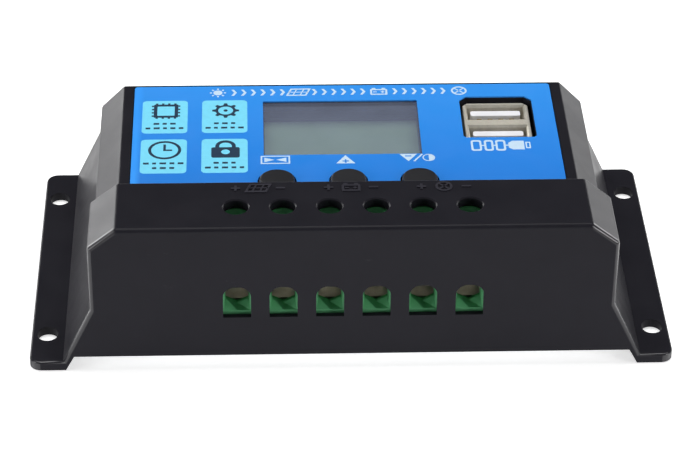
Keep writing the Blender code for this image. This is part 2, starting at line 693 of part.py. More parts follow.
def make_small_parts(finishes):
    """Pad, capacitors, coil, chips and diode, on both faces of the board."""
    add_object("insulating_pad", box(
        (-33.0, -14.0, PLATE_SPAN_Z[1] + 0.15), (17.0, 8.0, PLATE_SPAN_Z[1] + 0.55)), finishes["rubber"])
    for number, x in enumerate((-24.0, -8.0, 8.0), start=1):
        make_transistor(number, x, finishes["black"])
    make_can("storage_capacitor", (-37.0, 19.0), 5.0, 11.5, finishes["black"])
    make_can("filter_capacitor", (28.0, -8.0), 4.0, 11.0, finishes["black"])
    make_inductor((38.0, -7.0), finishes["copper"])
    low = BOARD_SPAN_Z[1] + REST_GAP
    for name, centre, half_x, half_y, height in (
        ("control_chip", (-36.0, -2.0), 3.5, 3.5, 1.4),
        ("voltage_regulator", (27.0, 4.0), 3.3, 3.0, 2.3),
        ("bypass_diode", (-36.0, -13.0), 4.0, 2.4, 2.3),
    ):
        chip = add_object(name, box(
            (centre[0] - half_x, centre[1] - half_y, low),
            (centre[0] + half_x, centre[1] + half_y, low + height)), finishes["black"])
        round_edges(chip, 0.25, 1)


def main():
    for obj in list(bpy.data.objects):
        bpy.data.objects.remove(obj, do_unlink=True)
    finishes = {
        "case": material("case_plastic", (0.022, 0.022, 0.026), 0.42),
        "button": material("button_plastic", (0.028, 0.028, 0.03), 0.38),
        "black": material("black_plastic", (0.02, 0.02, 0.02), 0.5),
        "label": material("blue_label", (0.03, 0.24, 0.78), 0.3),
        "clear": material("clear_lens", (0.8, 0.85, 0.85), 0.05),
        "display": material("display_surface", (0.2, 0.24, 0.23), 0.25),
        "white": material("white_plastic", (0.85, 0.85, 0.82), 0.4),
        "rubber": material("grey_rubber", (0.35, 0.35, 0.36), 0.7),
        "steel": material("socket_steel", (0.72, 0.7, 0.64), 0.3, 1.0),
        "zinc": material("zinc_plate", (0.65, 0.66, 0.68), 0.35, 1.0),
        "brass": material("tinned_brass", (0.75, 0.68, 0.45), 0.35, 1.0),
        "copper": material("copper_winding", (0.55, 0.22, 0.08), 0.4, 1.0),
        "aluminium": material("aluminium_plate", (0.7, 0.71, 0.72), 0.4, 1.0),
        "board": material("green_board", (0.02, 0.16, 0.06), 0.45),
        "green": material("green_terminal", (0.05, 0.3, 0.11), 0.4),
    }
    make_case(finishes["case"])
    make_back_plate(finishes["aluminium"])
    corners = [(x, y) for x in (-POST_X, POST_X) for y in (-POST_Y, POST_Y)]
    for number, centre in enumerate(corners, start=1):
        make_cross_screw(
            f"case_screw_{number}", finishes["zinc"], centre, PLATE_SPAN_Z[0] - 0.2, 1, 2.8, 1.2, 11.0)
    make_label(finishes["label"])
    make_display(finishes)
    for name, x in BUTTON_XS.items():
        make_button(name, x, finishes)
    make_socket(finishes)
    for name, centre in zip(BLOCK_NAMES, (-2 * TERMINAL_PITCH, 0.0, 2 * TERMINAL_PITCH)):
        make_block(name, centre, finishes["green"])
    for number, x in enumerate(TERMINAL_XS, start=1):
        make_terminal(number, x, finishes)
    make_board(finishes["board"])
    for number, centre in enumerate(BOSS_XY, start=1):
        make_cross_screw(
            f"board_screw_{number}", finishes["zinc"], centre, BOARD_SPAN_Z[0] - 0.25, 1, 2.2, 1.1, 8.0)
    make_small_parts(finishes)


main()
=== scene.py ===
"""Looks for a solar charge controller: a finish for every part, the print on its label, the raised
marks on its terminal ridge, the contacts of its charging socket, and a plain studio around it.

Everything is in metres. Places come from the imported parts, and nothing here moves or resizes them.
"""

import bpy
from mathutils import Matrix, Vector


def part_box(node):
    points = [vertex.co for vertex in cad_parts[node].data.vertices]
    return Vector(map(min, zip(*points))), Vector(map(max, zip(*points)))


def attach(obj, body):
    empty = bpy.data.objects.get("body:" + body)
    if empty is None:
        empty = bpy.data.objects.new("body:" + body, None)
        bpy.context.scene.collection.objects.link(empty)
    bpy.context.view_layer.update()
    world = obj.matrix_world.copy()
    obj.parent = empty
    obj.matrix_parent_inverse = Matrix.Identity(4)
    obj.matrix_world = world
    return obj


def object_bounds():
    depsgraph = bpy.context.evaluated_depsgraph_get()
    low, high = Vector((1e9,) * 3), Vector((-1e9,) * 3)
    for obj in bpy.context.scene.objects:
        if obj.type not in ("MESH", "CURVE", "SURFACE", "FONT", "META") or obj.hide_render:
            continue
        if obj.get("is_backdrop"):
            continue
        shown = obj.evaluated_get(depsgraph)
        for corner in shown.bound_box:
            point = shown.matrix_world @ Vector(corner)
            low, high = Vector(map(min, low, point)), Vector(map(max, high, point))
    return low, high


bl_info = {
    "name": "Charge Controller Looks",
    "version": (1, 0, 0),
    "blender": (4, 5, 0),
    "location": "3D View > Sidebar > Controller",
    "description": "Finishes, print and studio for a solar charge controller",
    "category": "Object",
}

import math

import bmesh
import bpy
from bpy.props import FloatProperty, FloatVectorProperty, IntProperty, PointerProperty
from mathutils import Matrix, Vector

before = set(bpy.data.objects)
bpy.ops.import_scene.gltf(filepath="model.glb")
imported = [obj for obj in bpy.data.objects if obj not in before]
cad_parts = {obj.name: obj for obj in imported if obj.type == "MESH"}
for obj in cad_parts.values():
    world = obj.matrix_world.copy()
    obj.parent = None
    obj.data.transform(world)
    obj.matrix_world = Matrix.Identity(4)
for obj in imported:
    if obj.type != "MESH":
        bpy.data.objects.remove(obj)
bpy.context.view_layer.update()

MM = 0.001
BODY = "case"
SHARP_ANGLE = math.radians(33)
SEAM = 0.000002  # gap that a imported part's mesh can have between two faces of one edge
OVERLAP = 0.01  # millimetres that print reaches into what it lies on
WIRES = range(1, 7)
BUTTONS = ("menu", "up", "down")


# ---- settings

COLOUR = {"subtype": "COLOR", "size": 3, "min": 0.0, "max": 1.0}
LENGTH = {"subtype": "DISTANCE", "unit": "LENGTH", "min": 0.0, "precision": 5}
SHARE = {"subtype": "FACTOR", "min": 0.0, "max": 1.0}
POWER = {"subtype": "POWER", "unit": "POWER", "min": 0.0}


class CaseSettings(bpy.types.PropertyGroup):
    plastic: FloatVectorProperty(
        name="Plastic", description="Colour of the moulded case",
        default=(0.0155, 0.015, 0.0195), **COLOUR)
    roughness: FloatProperty(
        name="Roughness", description="Roughness of the case's textured faces", default=0.33, **SHARE)
    grain: FloatProperty(
        name="Grain size", description="Width of one dimple of the moulded texture",
        default=0.00028, **LENGTH)
    grain_depth: FloatProperty(
        name="Grain depth", description="Depth of the moulded texture", default=0.000006, **LENGTH)
    rim: FloatProperty(
        name="Rim gloss", description="Gloss of the rounded edge round the front face",
        default=0.8, **SHARE)
    rim_roughness: FloatProperty(
        name="Rim roughness", description="Roughness of the rounded edge round the front face",
        default=0.16, **SHARE)
    scuff: FloatVectorProperty(
        name="Scuff", description="Colour of a rubbed mark on the plastic",
        default=(0.06, 0.06, 0.065), **COLOUR)
    mark_height: FloatProperty(
        name="Mark height", description="How far the terminal marks stand out of the ridge",
        default=0.00026, **LENGTH)
    # painted highlight: the raised marks are coloured lighter than the case plastic to stand in for light
    # catching their tops
    mark_highlight: FloatProperty(
        name="Mark highlight", description="How much lighter the marks are painted, as a painted highlight on their tops", min=1.0,
        default=2.0)
    mark_line: FloatProperty(
        name="Mark line", description="Width of a line of the terminal marks", default=0.00048, **LENGTH)


class LabelSettings(bpy.types.PropertyGroup):
    film: FloatVectorProperty(
        name="Film", description="Colour of the label at its middle",
        default=(0.016, 0.235, 0.78), **COLOUR)
    film_back: FloatVectorProperty(
        name="Film, back", description="Colour of the label along its back edge",
        default=(0.028, 0.3, 0.88), **COLOUR)
    film_front: FloatVectorProperty(
        name="Film, front", description="Colour of the label along its front edge",
        default=(0.012, 0.19, 0.68), **COLOUR)
    tile: FloatVectorProperty(
        name="Tile", description="Colour of the four tiles behind the pictures",
        default=(0.2, 0.74, 0.98), **COLOUR)
    ink: FloatVectorProperty(
        name="Ink", description="Colour of the pictures on the tiles",
        default=(0.006, 0.03, 0.07), **COLOUR)
    light_ink: FloatVectorProperty(
        name="Light ink", description="Colour of the marks printed on the blue",
        default=(0.6, 0.78, 0.95), **COLOUR)
    thickness: FloatProperty(
        name="Ink thickness", description="Height of the print above the film",
        default=0.00002, **LENGTH)


class DisplaySettings(bpy.types.PropertyGroup):
    glass: FloatVectorProperty(
        name="Glass", description="Colour of the unlit liquid crystal",
        default=(0.26, 0.39, 0.265), **COLOUR)
    border: FloatVectorProperty(
        name="Border", description="Colour of the rim outside the display's active area",
        default=(0.05, 0.055, 0.075), **COLOUR)
    haze: FloatVectorProperty(
        name="Haze", description="Colour that the clear window adds to what is below it",
        default=(0.42, 0.48, 0.66), **COLOUR)
    haze_share: FloatProperty(
        name="Haze share", description="How much of the window's colour shows", default=0.2, **SHARE)


class ButtonSettings(bpy.types.PropertyGroup):
    plastic: FloatVectorProperty(
        name="Plastic", description="Colour of the button caps",
        default=(0.016, 0.016, 0.0185), **COLOUR)
    roughness: FloatProperty(
        name="Roughness", description="Roughness of the button caps", default=0.45, **SHARE)


class SocketSettings(bpy.types.PropertyGroup):
    steel: FloatVectorProperty(
        name="Steel", description="Colour of the plated shell", default=(0.72, 0.68, 0.58), **COLOUR)
    tongue: FloatVectorProperty(
        name="Tongue", description="Colour of the insulating tongues",
        default=(0.9, 0.9, 0.93), **COLOUR)
    contact: FloatVectorProperty(
        name="Contact", description="Colour of the gilded contacts",
        default=(0.83, 0.62, 0.25), **COLOUR)
    contact_count: IntProperty(
        name="Contacts", description="Contacts on each tongue", min=1, max=6, default=4)


class TerminalSettings(bpy.types.PropertyGroup):
    housing: FloatVectorProperty(
        name="Housing", description="Colour of the terminal housings",
        default=(0.11, 0.4, 0.18), **COLOUR)
    zinc: FloatVectorProperty(
        name="Zinc", description="Colour of the screws and cages", default=(0.6, 0.61, 0.63), **COLOUR)
    brass: FloatVectorProperty(
        name="Contact", description="Colour of the tinned contacts",
        default=(0.72, 0.68, 0.55), **COLOUR)


class BoardSettings(bpy.types.PropertyGroup):
    mask: FloatVectorProperty(
        name="Solder mask", description="Colour of the circuit board",
        default=(0.012, 0.12, 0.045), **COLOUR)
    package: FloatVectorProperty(
        name="Package", description="Colour of the moulded chips",
        default=(0.018, 0.018, 0.019), **COLOUR)
    winding: FloatVectorProperty(
        name="Winding", description="Colour of the enamelled wire", default=(0.5, 0.17, 0.05), **COLOUR)
    sleeve: FloatVectorProperty(
        name="Sleeve", description="Colour of the capacitors' sleeves",
        default=(0.015, 0.018, 0.03), **COLOUR)


class BackSettings(bpy.types.PropertyGroup):
    aluminium: FloatVectorProperty(
        name="Aluminium", description="Colour of the back plate", default=(0.66, 0.67, 0.68), **COLOUR)
    brush: FloatProperty(
        name="Brush mark", description="Width of one brush mark on the plate", default=0.00035, **LENGTH)


class StageSettings(bpy.types.PropertyGroup):
    floor: FloatVectorProperty(
        name="Floor", description="Colour of the floor", default=(0.93, 0.93, 0.93), **COLOUR)
    floor_glow: FloatProperty(
        name="Floor glow", description="Light that comes up through the floor", min=0.0, default=0.6)
    ambient: FloatProperty(name="Ambient", description="Strength of the light all round", min=0.0,
        default=0.62)
    side_power: FloatProperty(
        name="Side power", description="Power of each side panel", default=7.0, **POWER)
    top_power: FloatProperty(
        name="Top power", description="Power of the panel overhead", default=13.5, **POWER)
    rim_power: FloatProperty(
        name="Rim power", description="Power of each panel that lights the front corners",
        default=4.0, **POWER)
    focal_length: FloatProperty(
        name="Focal length", description="Focal length of the camera in millimetres", min=20.0,
        default=139.31)


GROUPS = {
    "controller_case": CaseSettings,
    "controller_label": LabelSettings,
    "controller_display": DisplaySettings,
    "controller_buttons": ButtonSettings,
    "controller_socket": SocketSettings,
    "controller_terminals": TerminalSettings,
    "controller_board": BoardSettings,
    "controller_back": BackSettings,
    "controller_stage": StageSettings,
}


# ---- node helpers

def add_node(tree, kind, inputs=(), **options):
    """Adds a node, sets its options, and sets or links the inputs given as (name or number, value)."""
    made = tree.nodes.new(kind)
    for name, value in options.items():
        setattr(made, name, value)
    for name, value in inputs:
        socket = made.inputs[name]
        if isinstance(value, bpy.types.NodeSocket):
            tree.links.new(value, socket)
        else:
            socket.default_value = value
    return made


def new_group(name, inputs, outputs):
    """An empty shader node group with named sockets, as (name, socket type, default)."""
    group = bpy.data.node_groups.new(name, "ShaderNodeTree")
    for label, kind, default in inputs:
        socket = group.interface.new_socket(label, in_out="INPUT", socket_type=kind)
        socket.default_value = default
    for label, kind in outputs:
        group.interface.new_socket(label, in_out="OUTPUT", socket_type=kind)
    return group, group.nodes.new("NodeGroupInput").outputs, group.nodes.new("NodeGroupOutput").inputs


def maths(tree, operation, *values):
    """The result of a Math node."""
    return add_node(tree, "ShaderNodeMath", list(enumerate(values)), operation=operation).outputs[0]


def noise(tree, place, scale, detail, roughness=0.5):
    return add_node(tree, "ShaderNodeTexNoise", [
        ("Vector", place), ("Scale", scale), ("Detail", detail), ("Roughness", roughness)]).outputs[0]


def ramp(tree, value, low, high):
    """Goes from 0 at the first limit to 1 at the second, and stays flat outside them."""
    return add_node(tree, "ShaderNodeMapRange", [
        ("Value", value), ("From Min", low), ("From Max", high)]).outputs[0]


def blend_colours(tree, share, first, second, blend_type="MIX"):
    return add_node(tree, "ShaderNodeMix", [
        (0, share), (6, first), (7, second)], data_type="RGBA", blend_type=blend_type).outputs[2]


def object_place(tree):
    return add_node(tree, "ShaderNodeTexCoord").outputs["Object"]


def object_axis(tree, axis):
    return add_node(tree, "ShaderNodeSeparateXYZ", [(0, object_place(tree))]).outputs[axis]


def grain_group():
    """Height of a spark-eroded mould texture: round dimples of one size over a broader unevenness."""
    group, given, result = new_group(
        "Moulded grain", [("Size", "NodeSocketFloat", 0.0003)], [("Height", "NodeSocketFloat")])
    place = object_place(group)
    scale = maths(group, "DIVIDE", 1.0, given["Size"])
    fine = noise(group, place, scale, 2.0, 0.6)
    wide = noise(group, place, maths(group, "MULTIPLY", scale, 0.22), 1.0)
    both = add_node(group, "ShaderNodeMix", [(0, 0.3), (2, fine), (3, wide)])
    group.links.new(both.outputs[0], result["Height"])
    return group


def uneven_group():
    """A colour and a roughness that wander a little over the surface, as handled plastic does."""
    grey = (0.5, 0.5, 0.5, 1.0)
    group, given, result = new_group("Uneven surface", [
        ("Colour", "NodeSocketColor", grey), ("Other colour", "NodeSocketColor", grey),
        ("Roughness", "NodeSocketFloat", 0.5), ("Amount", "NodeSocketFloat", 0.1),
        ("Size", "NodeSocketFloat", 0.01),
    ], [("Colour", "NodeSocketColor"), ("Roughness", "NodeSocketFloat")])
    scale = maths(group, "DIVIDE", 1.0, given["Size"])
    spread = ramp(group, noise(group, object_place(group), scale, 4.0, 0.6), 0.3, 0.7)
    colour = blend_colours(group, spread, given["Colour"], given["Other colour"])
    centred = maths(group, "SUBTRACT", spread, 0.5)
    rough = maths(group, "MULTIPLY_ADD", centred, given["Amount"], given["Roughness"])
    group.links.new(colour, result["Colour"])
    group.links.new(rough, result["Roughness"])
    return group


def scuff_group():
    """Mask of sparse fine rub marks, drawn out along one direction."""
    group, given, result = new_group("Rub marks", [
        ("Spacing", "NodeSocketFloat", 0.006), ("Share", "NodeSocketFloat", 0.1),
    ], [("Mask", "NodeSocketFloat")])
    place = object_place(group)
    turned = add_node(group, "ShaderNodeMapping", [
        ("Vector", place), ("Rotation", (0.4, 0.7, 0.9)), ("Scale", (1.0, 7.0, 2.0))]).outputs[0]
    lines = noise(group, turned, maths(group, "DIVIDE", 1.0, given["Spacing"]), 5.0, 0.7)
    patches = noise(group, place, 55.0, 1.0)
    mask = maths(group, "MULTIPLY", ramp(group, lines, 0.66, 0.76), ramp(group, patches, 0.5, 0.68))
    group.links.new(maths(group, "MULTIPLY", mask, given["Share"]), result["Mask"])
    return group


def brushed_group():
    """Height of fine marks that all run along X."""
    group, given, result = new_group(
        "Brushed metal", [("Size", "NodeSocketFloat", 0.0003)], [("Height", "NodeSocketFloat")])
    drawn = add_node(group, "ShaderNodeMapping", [
        ("Vector", object_place(group)), ("Scale", (0.02, 1.0, 1.0))]).outputs[0]
    marks = noise(group, drawn, maths(group, "DIVIDE", 1.0, given["Size"]), 3.0)
    group.links.new(marks, result["Height"])
    return group


GROUP_NAMES = {
    grain_group: "Moulded grain", uneven_group: "Uneven surface",
    scuff_group: "Rub marks", brushed_group: "Brushed metal",
}


def use_group(tree, build, inputs=()):
    """Places one of the shared groups, which is built the first time it is asked for."""
    made = tree.nodes.new("ShaderNodeGroup")
    made.node_tree = bpy.data.node_groups.get(GROUP_NAMES[build]) or build()
    for name, value in inputs:
        made.inputs[name].default_value = value
    return made


def rgba(value, share=1.0):
    return (*(channel * share for channel in value), 1.0)


def new_material(name, **constants):
    """A material with one Principled shader; the constants are its sockets, with _ for a space."""
    made = bpy.data.materials.new(name)
    made.use_nodes = True
    shader = made.node_tree.nodes["Principled BSDF"]
    for key, value in constants.items():
        shader.inputs[key.replace("_", " ")].default_value = value
    return made, made.node_tree, shader


def add_bump(tree, shader, height, depth):
    bump = add_node(tree, "ShaderNodeBump", [("Strength", 1.0), ("Distance", depth), ("Height", height)])
    tree.links.new(bump.outputs[0], shader.inputs["Normal"])


def add_grain(tree, shader, size, depth):
    add_bump(tree, shader, use_group(tree, grain_group, [("Size", size)]).outputs["Height"], depth)


def add_surface(tree, shader, base, other, roughness, amount, size):
    """Links a wandering colour and roughness to the shader, and gives back the colour."""
    surface = use_group(tree, uneven_group, [
        ("Colour", rgba(base)), ("Other colour", rgba(other)),
        ("Roughness", roughness), ("Amount", amount), ("Size", size)])
    tree.links.new(surface.outputs["Colour"], shader.inputs["Base Color"])
    tree.links.new(surface.outputs["Roughness"], shader.inputs["Roughness"])
    return surface.outputs["Colour"]


def lighter(value, share):
    return tuple(channel * share for channel in value)


def moulded(name, base, roughness, other=None, grain=0.0004, depth=0.000004, uneven=0.12, patch=0.012,
            **more):
    """A moulded plastic: two close colours, wandering roughness and a fine mould texture."""
    made, tree, shader = new_material(name, **more)
    add_surface(tree, shader, base, other or lighter(base, 1.18), roughness, uneven, patch)
    add_grain(tree, shader, grain, depth)
    return made


def plated(name, base, roughness, brush=0.0002, depth=0.000002, uneven=0.18, metallic=1.0,
           patch=0.002, dull=0.8):
    """A plated or rolled metal with fine marks along X."""
    made, tree, shader = new_material(name, Metallic=metallic)
    add_surface(tree, shader, base, lighter(base, dull), roughness, uneven, patch)
    marks = use_group(tree, brushed_group, [("Size", brush)])
    add_bump(tree, shader, marks.outputs["Height"], depth)
    return made


# ---- mesh helpers

def smoothing_group():
    """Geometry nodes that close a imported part's seams and shade it smooth up to a sharp edge."""
    name = "Smooth to sharp edges"
    if name in bpy.data.node_groups:
        return bpy.data.node_groups[name]
    group = bpy.data.node_groups.new(name, "GeometryNodeTree")
    group.interface.new_socket("Geometry", in_out="INPUT", socket_type="NodeSocketGeometry")
    group.interface.new_socket("Geometry", in_out="OUTPUT", socket_type="NodeSocketGeometry")
    given = group.nodes.new("NodeGroupInput").outputs["Geometry"]
    plain = add_node(group, "GeometryNodeRemoveAttribute", [("Geometry", given), ("Name", "custom_normal")])
    closed = add_node(group, "GeometryNodeMergeByDistance", [
        ("Geometry", plain.outputs[0]), ("Distance", SEAM)])
    angle = add_node(group, "GeometryNodeInputMeshEdgeAngle")
    gentle = add_node(group, "FunctionNodeCompare", [
        ("A", angle.outputs["Unsigned Angle"]), ("B", SHARP_ANGLE)], operation="LESS_THAN")
    faces = add_node(group, "GeometryNodeSetShadeSmooth", [
        ("Geometry", closed.outputs[0]), ("Shade Smooth", True)], domain="FACE")
    edges = add_node(group, "GeometryNodeSetShadeSmooth", [
        ("Geometry", faces.outputs[0]), ("Shade Smooth", gentle.outputs[0])], domain="EDGE")
    result = group.nodes.new("NodeGroupOutput")
    group.links.new(edges.outputs[0], result.inputs["Geometry"])
    return group


def shade(piece):
    """Smooth shading that keeps flat faces flat, without touching the mesh itself."""
    smooth = piece.modifiers.new("Smoothing", "NODES")
    smooth.node_group = smoothing_group()
    even = piece.modifiers.new("Even normals", "WEIGHTED_NORMAL")
    even.keep_sharp = True
    even.weight = 100


def finish(material, *names):
    """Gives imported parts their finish, and smooth shading where they are round."""
    for name in names:
        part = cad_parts[name]
        part.data.materials.clear()
        part.data.materials.append(material)
        if "Smoothing" not in part.modifiers:
            shade(part)


def add_piece(name, bm, material, body=BODY):
    """Turns a mesh built in millimetres into a piece that rides on a body."""
    bmesh.ops.recalc_face_normals(bm, faces=bm.faces)
    bmesh.ops.scale(bm, vec=(MM, MM, MM), verts=bm.verts)
    mesh = bpy.data.meshes.new(name)
    bm.to_mesh(mesh)
    bm.free()
    mesh.materials.append(material)
    piece = bpy.data.objects.new(name, mesh)
    bpy.context.scene.collection.objects.link(piece)
    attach(piece, body)
    return piece


def on_circle(centre, radius, degrees):
    turn = math.radians(degrees)
    return centre[0] + radius * math.cos(turn), centre[1] + radius * math.sin(turn)


def arc(centre, radius, start, end, steps):
    """Points on a circle from one angle to another, in degrees, both ends included."""
    return [on_circle(centre, radius, start + (end - start) * i / steps) for i in range(steps + 1)]


def circle(centre, radius, steps=40):
    return arc(centre, radius, 0, 360, steps)[:-1]


def rounded_box(low, high, radius, steps=5):
    (low_x, low_y), (high_x, high_y) = low, high
    corners = (
        (high_x - radius, low_y + radius, -90), (high_x - radius, high_y - radius, 0),
        (low_x + radius, high_y - radius, 90), (low_x + radius, low_y + radius, 180),
    )
    return [point for x, y, start in corners for point in arc((x, y), radius, start, start + 90, steps)]


def box_outline(centre, half_x, half_y):
    x, y = centre
    return [(x + u * half_x, y + v * half_y) for u, v in ((-1, -1), (1, -1), (1, 1), (-1, 1))]


def bar(start, end, width):
    """A straight line with square ends."""
    along = (Vector(end) - Vector(start)).normalized() * width / 2
    side = Vector((-along.y, along.x))
    return [tuple(Vector(p) + s * side) for p, s in ((start, -1), (end, -1), (end, 1), (start, 1))]


def fill(bm, outline, low, high):
    """A flat shape between two heights."""
    rings = [[bm.verts.new((x, y, z)) for x, y in outline] for z in (low, high)]
    for i in range(len(outline)):
        j = (i + 1) % len(outline)
        bm.faces.new((rings[0][i], rings[0][j], rings[1][j], rings[1][i]))
    bm.faces.new(reversed(rings[0]))
    bm.faces.new(rings[1])


def frame_shape(bm, outer, inner, low, high):
    """A closed band between two outlines with the same number of points."""
    loops = [
        [bm.verts.new((x, y, z)) for x, y in outline]
        for outline, z in ((outer, low), (outer, high), (inner, high), (inner, low))
    ]
    for near, far in zip(loops, loops[1:] + loops[:1]):
        for i in range(len(outer)):
            j = (i + 1) % len(outer)
            bm.faces.new((near[i], near[j], far[j], far[i]))


def shapes_mesh(shapes, low, high):
    """One mesh of flat shapes; a shape is an outline, or a pair of outlines for a band."""
    bm = bmesh.new()
    for shape in shapes:
        if isinstance(shape, tuple):
            frame_shape(bm, *shape, low, high)
        else:
            fill(bm, shape, low, high)
    return bm


def millimetres(node):
    """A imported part's lowest and highest corner, in millimetres."""
    return tuple(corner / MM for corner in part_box(node))


# ---- case

RIDGE_SHOULDER = 0.0479
RIM_WIDTH = 0.0011
RIM_FADE = 0.0003


def rim_mask(tree):
    """1 on the rounded edge round the front face, outside the flat top of the ridge."""
    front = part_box("front_case")[0].y
    near = ramp(tree, object_axis(tree, "Y"), front + RIM_WIDTH, front + RIM_WIDTH - RIM_FADE)
    behind = ramp(tree, object_axis(tree, "Y"), front + 0.00001, front + 0.00005)
    outward = maths(tree, "ABSOLUTE", object_axis(tree, "X"))
    shoulder = ramp(tree, outward, RIDGE_SHOULDER - 0.0002, RIDGE_SHOULDER + 0.0004)
    return maths(tree, "MULTIPLY", maths(tree, "MULTIPLY", near, behind), shoulder)


def case_material(settings):
    """Black moulded plastic: fine texture, uneven gloss, a few pale rub marks and a glossy rim."""
    made, tree, shader = new_material(
        "Black case plastic", Specular_IOR_Level=0.08, Coat_Roughness=settings.rim_roughness)
    colour = add_surface(
        tree, shader, settings.plastic, lighter(settings.plastic, 1.1), settings.roughness, 0.1, 0.009)
    rubbed = use_group(tree, scuff_group, [("Spacing", 0.0035), ("Share", 0.28)])
    base = blend_colours(tree, rubbed.outputs["Mask"], colour, rgba(settings.scuff))
    tree.links.new(base, shader.inputs["Base Color"])
    tree.links.new(maths(tree, "MULTIPLY", rim_mask(tree), settings.rim), shader.inputs["Coat Weight"])
    add_grain(tree, shader, settings.grain, settings.grain_depth)
    return made


class Step:
    """What the steps have in common."""
    bl_options = {"REGISTER", "UNDO"}


class CONTROLLER_OT_finish_case(Step, bpy.types.Operator):
    """Give the moulded case its black textured plastic"""
    bl_idname = "controller.finish_case"
    bl_label = "Finish Case"

    def execute(self, context):
        finish(case_material(context.scene.controller_case), "front_case")
        return {"FINISHED"}


def plus_outline(centre, size, line):
    """An upright cross as one outline."""
    x, y = centre
    near, far = line / 2, size / 2
    steps = (
        (near, -far), (near, -near), (far, -near), (far, near), (near, near), (near, far),
        (-near, far), (-near, near), (-far, near), (-far, -near), (-near, -near), (-near, -far),
    )
    return [(x + dx, y + dy) for dx, dy in steps]


def minus_outline(centre, size, line):
    x, y = centre
    return bar((x - size / 2, y), (x + size / 2, y), line)


def panel_marks(centre, line):
    """A leaning solar panel with a grid of cells."""
    x, y = centre
    lean = 0.55

    def place(u, v):
        return (x + u * 2.25 + v * lean, y + v * 1.5)

    def square(grow):
        u, v = 1 - grow / 2.25, 1 - grow / 1.5
        return [place(-u, -v), place(u, -v), place(u, v), place(-u, v)]

    inner = 1 - line / 1.5
    posts = [bar(place(u, -inner), place(u, inner), line * 0.6) for u in (-0.35, 0.35)]
    spans = ((-0.92, -0.42), (-0.28, 0.28), (0.42, 0.92))
    rungs = [bar(place(start, 0), place(end, 0), line * 0.6) for start, end in spans]
    return [(square(0), square(line)), *posts, *rungs]


def battery_marks(centre, line):
    """A block battery with its two posts and their signs."""
    x, y = centre
    low, high = (x - 1.9, y - 1.4), (x + 1.9, y + 0.95)
    outer = rounded_box(low, high, 0.25, 2)
    inner = rounded_box((low[0] + line, low[1] + line), (high[0] - line, high[1] - line), 0.1, 2)
    posts = [bar((x + side * 1.1, y + 0.97), (x + side * 1.1, y + 1.45), 0.8) for side in (-1, 1)]
    signs = [minus_outline((x - 0.85, y - 0.2), 0.8, line * 0.7),
             plus_outline((x + 0.85, y - 0.2), 0.8, line * 0.7)]
    return [(outer, inner), *posts, *signs]


def lamp_marks(centre, line):
    """A lamp as a ring with a cross in it."""
    radius = 1.75
    ring = (circle(centre, radius, 32), circle(centre, radius - line, 32))
    reach = (radius - line) * 0.97
    arms = [bar(on_circle(centre, line * 0.55, turn), on_circle(centre, reach, turn), line * 0.75)
            for turn in (45, 135, 225, 315)]
    return [ring, *arms]


class CONTROLLER_OT_add_ridge_marks(Step, bpy.types.Operator):
    """Raise the panel, battery and lamp marks with their signs on the terminal ridge"""
    bl_idname = "controller.add_ridge_marks"
    bl_label = "Add Ridge Marks"

    def execute(self, context):
        settings = context.scene.controller_case
        line = settings.mark_line / MM
        top = millimetres("front_case")[1].z
        # the marks' lighter plastic is a painted highlight on their raised tops
        highlit_plastic = moulded(
            "Raised plastic with painted highlight", lighter(settings.plastic, settings.mark_highlight), settings.roughness,
            grain=settings.grain, depth=settings.grain_depth, Specular_IOR_Level=0.2)
        pictures = {"solar": panel_marks, "battery": battery_marks, "load": lamp_marks}
        for name, picture in pictures.items():
            low, high = millimetres(f"terminal_block_{name}")
            middle = (low.x + high.x) / 2 - 0.2
            y = high.y + 0.45
            shapes = picture((middle, y), line)
            shapes.append(plus_outline((middle - 4.6, y), 1.9, line))
            shapes.append(minus_outline((middle + 4.6, y), 1.9, line))
            bm = shapes_mesh(shapes, top - 0.05, top + settings.mark_height / MM)
            add_piece(f"{name}_ridge_mark", bm, highlit_plastic)
        return {"FINISHED"}


# ---- label

def film_material(settings):
    """Printed polyester film: blue, a little lighter to the back, with a painted reflection as a lighter
    strip along the left edge.
    """
    made, tree, shader = new_material("Blue label film", Specular_IOR_Level=0.4)
    low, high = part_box("front_label")
    shades = add_node(tree, "ShaderNodeValToRGB", [(0, ramp(tree, object_axis(tree, "Y"), low.y, high.y))])
    stops = shades.color_ramp.elements
    stops[0].color = rgba(settings.film_front)
    stops[1].color = rgba(settings.film_back)
    stops.new(0.45).color = rgba(settings.film)
    # painted reflection: a lighter strip along the left edge, where the film's edge catches light
    left = ramp(tree, object_axis(tree, "X"), low.x + 0.0022, low.x + 0.0008)
    light = blend_colours(tree, left, shades.outputs[0], rgba(settings.film_back, 1.12))
    mottle = add_surface(tree, shader, (0.5, 0.5, 0.5), (0.45, 0.45, 0.45), 0.42, 0.12, 0.006)
    tree.links.new(blend_colours(tree, 0.14, light, mottle, "OVERLAY"), shader.inputs["Base Color"])
    add_grain(tree, shader, 0.00022, 0.000003)
    return made


def ink_material(name, base):
    """Screen-printed ink: even colour with faint pinholes and a fine tooth."""
    return moulded(name, base, 0.5, other=lighter(base, 0.93), grain=0.00015, depth=0.0000015,
                   uneven=0.1, patch=0.0015, Specular_IOR_Level=0.4)


class CONTROLLER_OT_finish_label(Step, bpy.types.Operator):
    """Give the front label its printed blue film"""
    bl_idname = "controller.finish_label"
    bl_label = "Finish Label"

    def execute(self, context):
        finish(film_material(context.scene.controller_label), "front_label")
        return {"FINISHED"}


def tile_centres():
    """Middles of the four tiles, left column first, each from its front tile to its back one."""
    low = millimetres("front_label")[0]
    return [(low.x + dx, low.y + dy) for dx in (6.85, 19.9) for dy in (21.7, 37.35)]


def words(centre, widths, height):
    """A line of print as a row of plain dashes."""
    gap = height * 1.1
    x = centre[0] - (sum(widths) + gap * (len(widths) - 1)) / 2
    dashes = []
    for width in widths:
        dashes.append(bar((x, centre[1]), (x + width, centre[1]), height))
        x += width + gap
    return dashes


